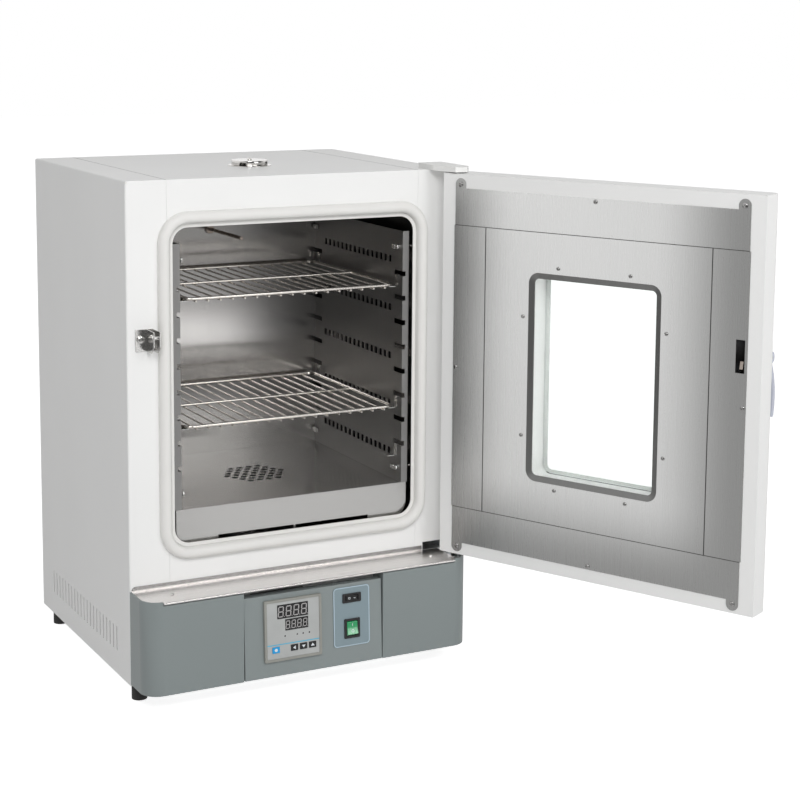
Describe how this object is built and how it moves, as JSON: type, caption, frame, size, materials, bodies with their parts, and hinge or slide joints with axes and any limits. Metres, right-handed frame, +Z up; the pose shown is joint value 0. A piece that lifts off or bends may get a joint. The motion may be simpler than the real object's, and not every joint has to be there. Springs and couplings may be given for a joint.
{
  "type": "hot air sterilizer",
  "caption": "Bench hot air sterilizer: white insulated cabinet, stainless chamber with wire shelves, hinged window door with latch, tilt-out control panel.",
  "frame": {"origin": "on the floor, in the middle of the four rubber feet", "axes": "+Z up; the door side faces -Y; +X is the hinge side of the cabinet"},
  "size_m": [0.8269, 0.9714, 0.8084],
  "materials": {
    "painted_white": "satin",
    "painted_grey": "satin",
    "stainless_brushed": "satin",
    "stainless_bright": "polished",
    "galvanised": "satin",
    "chrome_wire": "polished",
    "silicone_white": "matte",
    "rubber_black": "matte",
    "mineral_wool": "matte",
    "dark_steel": "satin",
    "motor_grey": "satin",
    "window_glass": "polished",
    "handle_silver": "satin",
    "bezel_plastic": "matte",
    "face_plastic": "matte",
    "black_plastic": "satin",
    "key_blue": "satin",
    "key_black": "satin",
    "plate_blue_grey": "satin",
    "rocker_green": "gloss"
  },
  "bodies": {
    "cabinet": {"left_side_shell": "painted_white", "right_side_shell": "painted_white", "top_panel": "painted_white", "back_panel": "painted_white", "front_frame": "painted_white", "base_pan": "galvanised", "chamber_box": "stainless_brushed", "chamber_gasket": "silicone_white", "left_duct_panel": "stainless_brushed", "right_duct_panel": "stainless_brushed", "chamber_floor": "stainless_bright", "thumb_screws": "stainless_bright", "shelf_clips": "stainless_bright", "temperature_probe": "stainless_bright", "insulation": "mineral_wool", "insulation_deck": "galvanised", "heater_element": "dark_steel", "fan_motor": "motor_grey", "plinth_shell": "painted_grey", "spill_tray": "stainless_bright", "upper_hinge_bracket": "painted_white", "lower_hinge_bracket": "galvanised", "hinge_pins": "stainless_bright", "latch_striker": "stainless_bright", "vent_base": "stainless_bright", "rubber_feet": "rubber_black", "foot_studs": "galvanised", "power_inlet": "black_plastic"},
    "door": {"door_outer_shell": "painted_white", "door_liner_top": "stainless_brushed", "door_liner_bottom": "stainless_brushed", "door_liner_hinge_side": "stainless_brushed", "door_liner_latch_side": "stainless_brushed", "door_liner_center": "stainless_brushed", "door_screws": "stainless_bright", "window_frame": "dark_steel", "inner_glass": "window_glass", "outer_glass": "window_glass", "door_insulation": "mineral_wool", "handle_base": "handle_silver", "lever_pin": "stainless_bright"},
    "latch": {"handle_lever": "handle_silver", "latch_hook": "stainless_bright"},
    "shelf_upper": {"upper_shelf": "chrome_wire"},
    "shelf_lower": {"lower_shelf": "chrome_wire"},
    "panel": {"control_panel": "painted_grey", "controller_bezel": "bezel_plastic", "controller_face": "face_plastic", "controller_body": "black_plastic", "switch_plate": "plate_blue_grey", "fan_switch_body": "black_plastic", "power_switch_body": "black_plastic"},
    "key_set": {"set_key": "key_blue"},
    "key_left": {"left_key": "key_black"},
    "key_down": {"down_key": "key_black"},
    "key_up": {"up_key": "key_black"},
    "rocker_fan": {"fan_rocker": "key_black"},
    "rocker_power": {"power_rocker": "rocker_green"},
    "vent_disc": {"vent_cap": "stainless_bright"},
    "fan": {"fan_impeller": "galvanised"}
  },
  "joints": [
    {"name": "door_hinge", "type": "hinge", "parent": "cabinet", "child": "door", "pos_m": [0.262, -0.259, 0.49], "axis": [0, 0, 1], "range_deg": [-116.1, 13]},
    {"name": "latch_pivot", "type": "hinge", "parent": "door", "child": "latch", "pos_m": [0.52326, -0.69001, 0.553], "axis": [0.4399, -0.898, 0], "range_deg": [-12, 0]},
    {"name": "upper_shelf_slide", "type": "slide", "parent": "cabinet", "child": "shelf_upper", "axis": [0, -1, 0], "range_m": [0, 0.28]},
    {"name": "lower_shelf_slide", "type": "slide", "parent": "cabinet", "child": "shelf_lower", "axis": [0, -1, 0], "range_m": [0, 0.28]},
    {"name": "panel_tilt", "type": "hinge", "parent": "cabinet", "child": "panel", "pos_m": [0, -0.281, 0.052], "axis": [1, 0, 0], "range_deg": [0, 30]},
    {"name": "set_key_press", "type": "slide", "parent": "panel", "child": "key_set", "axis": [0, 0.999, -0.0436], "range_m": [0, 0.0008], "stiffness_N_per_m": 300},
    {"name": "left_key_press", "type": "slide", "parent": "panel", "child": "key_left", "axis": [0, 0.999, -0.0436], "range_m": [0, 0.0008], "stiffness_N_per_m": 300},
    {"name": "down_key_press", "type": "slide", "parent": "panel", "child": "key_down", "axis": [0, 0.999, -0.0436], "range_m": [0, 0.0008], "stiffness_N_per_m": 300},
    {"name": "up_key_press", "type": "slide", "parent": "panel", "child": "key_up", "axis": [0, 0.999, -0.0436], "range_m": [0, 0.0008], "stiffness_N_per_m": 300},
    {"name": "fan_rocker_turn", "type": "hinge", "parent": "panel", "child": "rocker_fan", "pos_m": [0.064, -0.2824, 0.13914], "axis": [0, 0.0436, 0.999], "range_deg": [0, 18]},
    {"name": "power_rocker_turn", "type": "hinge", "parent": "panel", "child": "rocker_power", "pos_m": [0.064, -0.28452, 0.09069], "axis": [1, 0, 0], "range_deg": [0, 18]},
    {"name": "vent_cap_turn", "type": "hinge", "parent": "cabinet", "child": "vent_disc", "pos_m": [0, -0.04, 0.8], "axis": [0, 0, 1], "range_deg": [0, 90]},
    {"name": "fan_spin", "type": "hinge", "parent": "cabinet", "child": "fan", "pos_m": [0, -0.055, 0.2], "axis": [0, 0, 1], "continuous": true}
  ]
}
